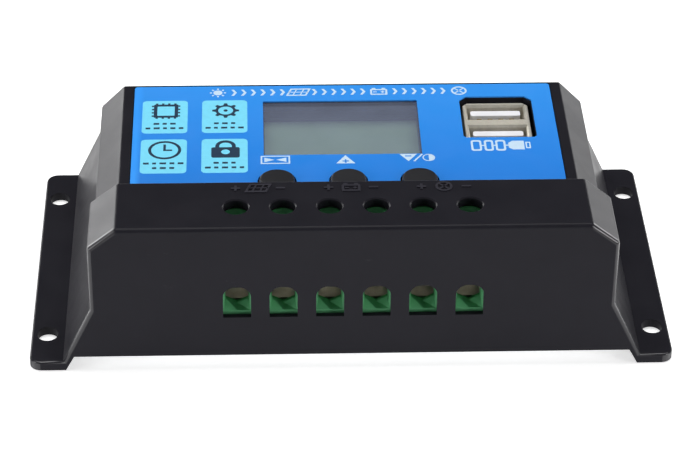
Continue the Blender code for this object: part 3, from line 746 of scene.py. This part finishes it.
def chip_picture(centre):
    x, y = centre
    outer = rounded_box((x - 2.65, y - 2.65), (x + 2.65, y + 2.65), 0.25, 3)
    inner = rounded_box((x - 1.9, y - 1.9), (x + 1.9, y + 1.9), 0.15, 3)
    pins = []
    for step in (-2.0, -0.67, 0.67, 2.0):
        for side in (1, -1):
            pins.append(bar((x + step, y + side * 2.67), (x + step, y + side * 3.1), 0.5))
            pins.append(bar((x + side * 2.67, y + step), (x + side * 3.1, y + step), 0.5))
    return [(outer, inner), *pins]


def gear_picture(centre):
    outer = []
    for tooth in range(8):
        for turn, radius in ((-13, 2.25), (-6, 2.95), (6, 2.95), (13, 2.25)):
            outer.append(on_circle(centre, radius, 45 * tooth + turn))
    inner = arc(centre, 1.65, -13, 347, 32)[:-1]
    return [(outer, inner), circle(centre, 0.45, 20)]


def clock_picture(centre):
    x, y = centre
    hands = [(x - 0.3, y - 0.3), (x + 1.6, y - 0.3), (x + 1.6, y + 0.2),
             (x + 0.25, y + 0.2), (x + 0.25, y + 2.2), (x - 0.3, y + 2.2)]
    return [(circle(centre, 3.55), circle(centre, 2.9)), hands]


def padlock_picture(centre):
    x, y = centre
    body = rounded_box((x - 3.05, y - 3.15), (x + 3.05, y + 0.9), 0.5)
    keyhole = arc((x, y - 0.9), 0.95, -80, 280, len(body))[:-1]
    top = (x, y + 1.4)
    shackle = [(x + 2.2, y + 0.92), *arc(top, 2.2, 0, 180, 14), (x - 2.2, y + 0.92),
               (x - 1.35, y + 0.92), *arc(top, 1.35, 180, 0, 14), (x + 1.35, y + 0.92)]
    return [(body, keyhole), shackle]


class CONTROLLER_OT_add_label_tiles(Step, bpy.types.Operator):
    """Print the four pale tiles and their dark pictures on the label"""
    bl_idname = "controller.add_label_tiles"
    bl_label = "Add Label Tiles"

    def execute(self, context):
        settings = context.scene.controller_label
        top = millimetres("front_label")[1].z
        thick = settings.thickness / MM
        tile_ink = ink_material("Pale blue ink", settings.tile)
        dark_ink = ink_material("Navy ink", settings.ink)
        pictures = (
            ("clock", clock_picture, (1.2, 0.8, 1.4, 1.0, 1.2), (0.9, 1.3, 1.0)),
            ("chip", chip_picture, (1.2, 0.9, 1.2), (1.0, 1.3, 0.8, 1.1, 1.0)),
            ("padlock", padlock_picture, (1.1, 1.2, 0.9), (1.2, 0.9, 1.3, 1.0, 0.9)),
            ("gear", gear_picture, (1.0, 1.2, 0.9), (1.1, 0.8, 1.3, 0.9, 1.2)),
        )
        for (name, picture, first, second), (x, y) in zip(pictures, tile_centres()):
            tile = rounded_box((x - 4.95, y - 6.6), (x + 4.95, y + 6.6), 1.0, 6)
            bm = shapes_mesh([tile], top - 0.02, top + thick)
            add_piece(f"{name}_tile", bm, tile_ink)
            shapes = picture((x + 0.2, y + 2.4))
            shapes += words((x, y - 2.75), first, 0.68)
            shapes += words((x, y - 4.55), second, 0.68)
            bm = shapes_mesh(shapes, top + thick - OVERLAP, top + thick * 2)
            add_piece(f"{name}_picture", bm, dark_ink)
        return {"FINISHED"}


def sun_picture(centre, size):
    rays = [bar(on_circle(centre, size * 0.36, turn), on_circle(centre, size * 0.5, turn), size * 0.11)
            for turn in range(0, 360, 45)]
    return [circle(centre, size * 0.28, 24), *rays]


def chevron(centre, size, line):
    """An arrowhead that points right."""
    x, y = centre
    return [(x - size / 2, y - size), (x - size / 2 + line, y - size), (x + size / 2, y),
            (x - size / 2 + line, y + size), (x - size / 2, y + size), (x + size / 2 - line, y)]


def title_strip(low_x, high_x, y):
    """Sun, panel, battery and lamp in a row, joined by arrowheads: what the controller does."""
    steps = [low_x + 1.8 + (high_x - low_x - 3.6) * i / 3 for i in range(4)]
    shapes = sun_picture((steps[0], y), 3.6)
    shapes += panel_marks((steps[1], y), 0.42)
    shapes += battery_marks((steps[2], y), 0.42)
    shapes += lamp_marks((steps[3], y), 0.42)
    for start, end in zip(steps, steps[1:]):
        for share in (0.2, 0.32, 0.44, 0.56, 0.68, 0.8):
            shapes.append(chevron((start + (end - start) * share, y), 1.25, 0.6))
    return shapes


def plug_picture(centre):
    """Three small devices on one lead, which ends in a charging plug on the right."""
    x, y = centre
    shapes = []
    for dx, width in ((-5.35, 2.3), (-2.65, 2.0), (-0.1, 2.2)):
        left, right = x + dx - width / 2, x + dx + width / 2
        outer = rounded_box((left, y - 2.1), (right, y + 2.1), 0.6, 3)
        inner = rounded_box((left + 0.45, y - 1.5), (right - 0.45, y + 1.5), 0.3, 3)
        shapes.append((outer, inner))
    for start, end in ((-4.2, -3.65), (-1.65, -1.2), (1.0, 1.6)):
        shapes.append(bar((x + start, y), (x + end, y), 0.4))
    body = [(x + 1.6, y - 0.9), (x + 2.5, y - 1.7), (x + 5.0, y - 1.7),
            (x + 5.0, y + 1.7), (x + 2.5, y + 1.7), (x + 1.6, y + 0.9)]
    tip = (rounded_box((x + 5.3, y - 1.25), (x + 6.4, y + 1.25), 0.15, 2),
           rounded_box((x + 5.6, y - 0.85), (x + 6.1, y + 0.85), 0.1, 2))
    return [*shapes, body, tip]


def behind_button(name, dx, dy):
    """A point on the label, counted from the middle of a button's back edge."""
    low, high = millimetres(f"{name}_button")
    return (low.x + high.x) / 2 + dx, high.y + dy


def button_pictures():
    """Small marks behind the three buttons: swap, more, and less with on or off."""
    x, y = behind_button("menu", -0.25, 3.5)
    shapes = [(box_outline((x, y), 3.15, 1.55), box_outline((x, y), 2.8, 1.2))]
    shapes.append([(x - 2.35, y - 0.85), (x - 0.15, y), (x - 2.35, y + 0.85)])
    shapes.append([(x + 2.35, y + 0.85), (x + 0.15, y), (x + 2.35, y - 0.85)])
    x, y = behind_button("up", -0.35, 3.4)
    shapes.append([(x - 2.05, y - 1.55), (x + 2.05, y - 1.55), (x, y + 1.6)])
    x, y = behind_button("down", 0, 3.8)
    shapes.append([(x - 3.85, y + 1.45), (x - 1.98, y - 1.35), (x - 0.1, y + 1.45)])
    shapes.append(bar((x - 0.85, y - 1.4), (x + 1.05, y + 1.35), 0.35))
    moon = (x + 2.4, y)
    shapes.append((circle(moon, 1.35, 28), circle(moon, 1.1, 28)))
    shapes.append(arc(moon, 1.12, -90, 90, 16))
    return shapes


def button_signs():
    """The plus and the minus that sit inside the triangles, in the blue of the film."""
    return [plus_outline(behind_button("up", -0.35, 2.75), 1.35, 0.36),
            minus_outline(behind_button("down", -1.98, 4.45), 1.35, 0.36)]


class CONTROLLER_OT_add_label_marks(Step, bpy.types.Operator):
    """Print the pale marks on the blue: the title strip, the plug and the button marks"""
    bl_idname = "controller.add_label_marks"
    bl_label = "Add Label Marks"

    def execute(self, context):
        settings = context.scene.controller_label
        top = millimetres("front_label")[1].z
        high = top + settings.thickness / MM
        ink = ink_material("Pale ink", settings.light_ink)
        display = millimetres("display_lens")
        socket = millimetres("charging_socket_shell")
        back = millimetres("front_label")[1].y
        marks = {
            "title_strip": title_strip(display[0].x - 10.9, display[1].x + 10.6, back - 2.75),
            "plug_mark": plug_picture(((socket[0].x + socket[1].x) / 2 - 0.1, socket[0].y - 3.6)),
            "button_marks": button_pictures(),
        }
        for name, shapes in marks.items():
            add_piece(name, shapes_mesh(shapes, top - OVERLAP, high), ink)
        blue = ink_material("Blue ink", settings.film)
        signs = shapes_mesh(button_signs(), high - OVERLAP, high + settings.thickness / MM)
        add_piece("button_signs", signs, blue)
        return {"FINISHED"}


# ---- display

def glass_material(settings):
    """Unlit liquid crystal: a flat grey-green field, a darker border and a polariser's faint grain."""
    made, tree, shader = new_material("Unlit display", Specular_IOR_Level=0.5)
    low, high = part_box("display_glass")
    edges = []
    for axis, near, far in (("X", low.x, high.x), ("Y", low.y, high.y)):
        middle, half = (near + far) / 2, (far - near) / 2
        away = maths(tree, "ABSOLUTE", maths(tree, "SUBTRACT", object_axis(tree, axis), middle))
        edges.append(ramp(tree, away, half - 0.0016, half - 0.0013))
    colour = add_surface(tree, shader, settings.glass, lighter(settings.glass, 0.92), 0.16, 0.05, 0.008)
    base = blend_colours(tree, maths(tree, "MAXIMUM", *edges), colour, rgba(settings.border))
    tree.links.new(base, shader.inputs["Base Color"])
    add_grain(tree, shader, 0.0001, 0.0000005)
    return made


def window_material(settings):
    """Clear acrylic with a faint bluish haze over what lies below, and fine scratches."""
    made, tree, shader = new_material("Clear window", Specular_IOR_Level=0.5)
    add_surface(tree, shader, settings.haze, lighter(settings.haze, 0.85), 0.09, 0.05, 0.006)
    scratches = use_group(tree, scuff_group, [("Spacing", 0.004), ("Share", 0.2)])
    film = maths(tree, "ADD", scratches.outputs["Mask"], settings.haze_share)
    tree.links.new(film, shader.inputs["Alpha"])
    return made


class CONTROLLER_OT_finish_display(Step, bpy.types.Operator):
    """Give the display its unlit glass, light guide, frame, rubber strips and clear window"""
    bl_idname = "controller.finish_display"
    bl_label = "Finish Display"

    def execute(self, context):
        settings = context.scene.controller_display
        finish(glass_material(settings), "display_glass")
        finish(window_material(settings), "display_lens")
        guide = moulded("Light guide", (0.72, 0.74, 0.72), 0.3, other=(0.68, 0.7, 0.66), grain=0.0003)
        finish(guide, "display_backlight")
        finish(moulded("Display frame plastic", (0.03, 0.032, 0.04), 0.4, grain=0.0003), "display_frame")
        strips = moulded(
            "Contact strip rubber", (0.3, 0.12, 0.1), 0.7, other=(0.24, 0.1, 0.085), grain=0.00025)
        finish(strips, "display_strip_front", "display_strip_back")
        return {"FINISHED"}


# ---- buttons

class CONTROLLER_OT_finish_buttons(Step, bpy.types.Operator):
    """Give the three buttons, their plungers and their switches their plastics"""
    bl_idname = "controller.finish_buttons"
    bl_label = "Finish Buttons"

    def execute(self, context):
        settings = context.scene.controller_buttons
        cap = moulded(
            "Button plastic", settings.plastic, settings.roughness, grain=0.00025, depth=0.000005,
            Specular_IOR_Level=0.2)
        stem = moulded("Switch stem plastic", (0.02, 0.02, 0.021), 0.5, grain=0.0002)
        body = moulded("Switch body", (0.03, 0.03, 0.032), 0.42, other=(0.045, 0.045, 0.047), grain=0.0003)
        for name in BUTTONS:
            finish(cap, f"{name}_button")
            finish(stem, f"{name}_plunger")
            finish(body, f"{name}_switch")
        return {"FINISHED"}


# ---- charging socket

TONGUE_FRONTS = {"front": 16.0, "back": 24.2}
CONTACT_PITCH = 2.4
CONTACT_WIDTH = 1.1
CONTACT_TOP = 0.8
CONTACT_FOOT = 6.5


class CONTROLLER_OT_finish_socket(Step, bpy.types.Operator):
    """Give the charging socket its plated shell, white tongues and gilded contacts"""
    bl_idname = "controller.finish_socket"
    bl_label = "Finish Charging Socket"

    def execute(self, context):
        settings = context.scene.controller_socket
        finish(plated("Socket steel", settings.steel, 0.5, metallic=0.6), "charging_socket_shell")
        tongue = moulded("Socket tongue plastic", settings.tongue, 0.38, grain=0.0003, depth=0.000002)
        finish(tongue, "charging_socket_core")
        gilt = plated("Gilded contact", settings.contact, 0.22)
        low, high = millimetres("charging_socket_core")
        middle = (low.x + high.x) / 2
        count = settings.contact_count
        for port, y in TONGUE_FRONTS.items():
            places = [middle + (i - (count - 1) / 2) * CONTACT_PITCH for i in range(count)]
            contacts = [box_outline((x, y + 0.01), CONTACT_WIDTH / 2, 0.09) for x in places]
            bm = shapes_mesh(contacts, high.z - CONTACT_FOOT, high.z - CONTACT_TOP)
            add_piece(f"{port}_port_contacts", bm, gilt)
        return {"FINISHED"}


# ---- terminals

class CONTROLLER_OT_finish_terminals(Step, bpy.types.Operator):
    """Give the wire terminals their green housings, plated screws and cages, and tinned contacts"""
    bl_idname = "controller.finish_terminals"
    bl_label = "Finish Terminals"

    def execute(self, context):
        settings = context.scene.controller_terminals
        housing = moulded(
            "Green terminal plastic", settings.housing, 0.38, grain=0.00035, depth=0.000003)
        screw = plated("Plated screw", settings.zinc, 0.3, brush=0.00025)
        cage = plated("Plated cage", settings.zinc, 0.36)
        contact = plated("Tinned contact", settings.brass, 0.28)
        finish(housing, *(f"terminal_block_{name}" for name in ("solar", "battery", "load")))
        for i in WIRES:
            finish(screw, f"terminal_screw_{i}")
            finish(cage, f"terminal_cage_{i}")
            finish(contact, f"terminal_contact_{i}")
        return {"FINISHED"}


# ---- board

def winding_material(settings):
    """Enamelled wire wound side by side: fine ridges across a coppery lacquer."""
    made, tree, shader = new_material(
        "Enamelled winding", Metallic=0.85, Coat_Roughness=0.15, Coat_Weight=0.4)
    add_surface(tree, shader, settings.winding, lighter(settings.winding, 0.6), 0.32, 0.2, 0.003)
    turns = add_node(tree, "ShaderNodeTexWave", [
        ("Vector", object_place(tree)), ("Scale", 330.0), ("Distortion", 0.6)], bands_direction="Z")
    add_bump(tree, shader, turns.outputs["Fac"], 0.0001)
    return made


def board_material(settings):
    """Solder mask over copper tracks, which stand up a little and show lighter."""
    made, tree, shader = new_material("Circuit board")
    tracks = add_node(tree, "ShaderNodeTexBrick", [
        ("Vector", object_place(tree)), ("Scale", 260.0), ("Mortar Size", 0.09), ("Mortar Smooth", 0.1),
        ("Color1", rgba(settings.mask)), ("Color2", rgba(settings.mask, 1.25)),
        ("Mortar", rgba(settings.mask, 2.2))])
    add_surface(tree, shader, settings.mask, settings.mask, 0.3, 0.1, 0.01)
    tree.links.new(tracks.outputs["Color"], shader.inputs["Base Color"])
    add_bump(tree, shader, tracks.outputs["Fac"], 0.00003)
    return made


class CONTROLLER_OT_finish_board(Step, bpy.types.Operator):
    """Give the circuit board and the parts on it their finishes"""
    bl_idname = "controller.finish_board"
    bl_label = "Finish Board"

    def execute(self, context):
        settings = context.scene.controller_board
        finish(board_material(settings), "circuit_board")
        package = moulded("Moulding compound", settings.package, 0.55, grain=0.0002, depth=0.000006)
        finish(package, "power_transistor_1", "power_transistor_2", "power_transistor_3",
               "control_chip", "voltage_regulator", "bypass_diode")
        sleeve = moulded("Capacitor sleeve", settings.sleeve, 0.28, other=(0.02, 0.024, 0.04),
                         grain=0.0006, depth=0.000008)
        finish(sleeve, "storage_capacitor", "filter_capacitor")
        finish(winding_material(settings), "power_inductor")
        pad = moulded("Silicone pad", (0.3, 0.3, 0.31), 0.75, other=(0.36, 0.36, 0.37),
                      grain=0.0005, depth=0.00001)
        finish(pad, "insulating_pad")
        return {"FINISHED"}


# ---- back

class CONTROLLER_OT_finish_back(Step, bpy.types.Operator):
    """Give the back plate its brushed aluminium and the case and board screws their plating"""
    bl_idname = "controller.finish_back"
    bl_label = "Finish Back"

    def execute(self, context):
        settings = context.scene.controller_back
        plate = plated("Brushed aluminium", settings.aluminium, 0.36, brush=settings.brush,
                       depth=0.00002, uneven=0.05, patch=0.03, dull=0.94)
        finish(plate, "back_plate")
        screw = plated("Case screw plating", (0.58, 0.59, 0.61), 0.32)
        finish(screw, *(f"case_screw_{i}" for i in range(1, 5)), "board_screw_1", "board_screw_2")
        return {"FINISHED"}


# ---- studio

FLOOR_REACH = 4.0
FLOOR_GAP = 0.0002
CAMERA_PLACE = (-20.62, -479.25, 343.98)
CAMERA_AIM = (0.03636, 0.8211, -0.56962)
CAMERA_ROLL = math.radians(0.795)


def add_panel_light(name, place, aim, size, power):
    """A soft rectangular lamp that faces a point."""
    lamp = bpy.data.lights.new(name, "AREA")
    lamp.shape = "RECTANGLE"
    lamp.size, lamp.size_y = size
    lamp.energy = power
    made = bpy.data.objects.new(name, lamp)
    made.location = place
    made.rotation_euler = (Vector(aim) - Vector(place)).to_track_quat("-Z", "Y").to_euler()
    bpy.context.scene.collection.objects.link(made)


def add_camera(focal_length):
    lens = bpy.data.cameras.new("Camera")
    lens.lens = focal_length
    lens.sensor_width = 36.0
    lens.clip_start = 0.01
    lens.clip_end = 20.0
    camera = bpy.data.objects.new("Camera", lens)
    ahead = Vector(CAMERA_AIM).normalized()
    right = ahead.cross(Vector((0, 0, 1))).normalized()
    up = right.cross(ahead)
    turned = right * math.cos(CAMERA_ROLL) + up * math.sin(CAMERA_ROLL)
    upward = up * math.cos(CAMERA_ROLL) - right * math.sin(CAMERA_ROLL)
    turn = Matrix((turned, upward, -ahead)).transposed()
    camera.matrix_world = Matrix.Translation(Vector(CAMERA_PLACE) * MM) @ turn.to_4x4()
    bpy.context.scene.collection.objects.link(camera)
    bpy.context.scene.camera = camera


def floor_material(settings):
    """White paper, clear from below so that it never hides the underside."""
    made, tree, shader = new_material(
        "Studio floor", Specular_IOR_Level=0.1, Emission_Color=(1.0, 1.0, 1.0, 1.0),
        Emission_Strength=settings.floor_glow)
    add_surface(tree, shader, settings.floor, lighter(settings.floor, 0.985), 0.85, 0.05, 0.4)
    sides = add_node(tree, "ShaderNodeNewGeometry")
    tree.links.new(maths(tree, "SUBTRACT", 1.0, sides.outputs["Backfacing"]), shader.inputs["Alpha"])
    return made


def build_world(ambient):
    """Even light all round, stronger from high up."""
    world = bpy.data.worlds.new("Studio")
    world.use_nodes = True
    tree = world.node_tree
    place = add_node(tree, "ShaderNodeTexCoord").outputs["Generated"]
    split = add_node(tree, "ShaderNodeSeparateXYZ", [(0, place)])
    height = add_node(tree, "ShaderNodeMapRange", [
        ("Value", split.outputs["Z"]), ("From Min", 0.5), ("From Max", 0.9),
        ("To Min", 0.9), ("To Max", 1.6)]).outputs[0]
    tree.links.new(maths(tree, "MULTIPLY", height, ambient), tree.nodes["Background"].inputs["Strength"])
    return world


class CONTROLLER_OT_build_stage(Step, bpy.types.Operator):
    """Build the floor, the soft studio light and the camera"""
    bl_idname = "controller.build_stage"
    bl_label = "Build Stage"

    def execute(self, context):
        settings = context.scene.controller_stage
        bm = bmesh.new()
        bmesh.ops.create_grid(bm, x_segments=1, y_segments=1, size=FLOOR_REACH)
        mesh = bpy.data.meshes.new("studio_floor")
        bm.to_mesh(mesh)
        bm.free()
        mesh.materials.append(floor_material(settings))
        floor = bpy.data.objects.new("studio_floor", mesh)
        floor.location.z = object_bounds()[0][2] - FLOOR_GAP
        context.scene.collection.objects.link(floor)
        floor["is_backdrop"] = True
        context.scene.world = build_world(settings.ambient)
        side, rim = settings.side_power, settings.rim_power
        middle = (0.0, 0.0, 0.02)
        for name, place, aim, size, power in (
            ("Left panel", (-0.75, 0.85, 0.16), middle, (0.9, 0.3), side),
            ("Right panel", (0.85, 0.75, 0.16), middle, (0.8, 0.3), side * 0.5),
            ("Overhead panel", (0.0, 0.25, 1.2), (0.0, 0.0, 0.0), (1.2, 0.8), settings.top_power),
            ("Left rim panel", (-0.99, -0.39, 0.29), middle, (0.35, 0.35), rim),
            ("Right rim panel", (0.92, -0.5, 0.37), middle, (0.35, 0.35), rim),
        ):
            add_panel_light(name, place, aim, size, power)
        add_camera(settings.focal_length)
        context.scene.view_settings.view_transform = "Standard"
        return {"FINISHED"}


# ---- add-on

OPERATORS = (
    CONTROLLER_OT_finish_case, CONTROLLER_OT_add_ridge_marks, CONTROLLER_OT_finish_label,
    CONTROLLER_OT_add_label_tiles, CONTROLLER_OT_add_label_marks, CONTROLLER_OT_finish_display,
    CONTROLLER_OT_finish_buttons, CONTROLLER_OT_finish_socket, CONTROLLER_OT_finish_terminals,
    CONTROLLER_OT_finish_board, CONTROLLER_OT_finish_back, CONTROLLER_OT_build_stage,
)


class CONTROLLER_PT_looks(bpy.types.Panel):
    """Lists the controller's settings and the steps that build its looks"""
    bl_label = "Charge Controller"
    bl_space_type = "VIEW_3D"
    bl_region_type = "UI"
    bl_category = "Controller"

    def draw(self, context):
        for name, group in GROUPS.items():
            box = self.layout.box()
            box.label(text=group.__name__.replace("Settings", ""))
            for key in group.__annotations__:
                box.prop(getattr(context.scene, name), key)
        column = self.layout.column(align=True)
        for operator in OPERATORS:
            column.operator(operator.bl_idname)


CLASSES = (*GROUPS.values(), *OPERATORS, CONTROLLER_PT_looks)


def register():
    for cls in CLASSES:
        bpy.utils.register_class(cls)
    for name, group in GROUPS.items():
        setattr(bpy.types.Scene, name, PointerProperty(type=group))


def unregister():
    for name in GROUPS:
        delattr(bpy.types.Scene, name)
    for cls in reversed(CLASSES):
        bpy.utils.unregister_class(cls)


def main():
    register()
    for operator in OPERATORS:
        family, name = operator.bl_idname.split(".")
        getattr(getattr(bpy.ops, family), name)()


if __name__ == "__main__":
    main()
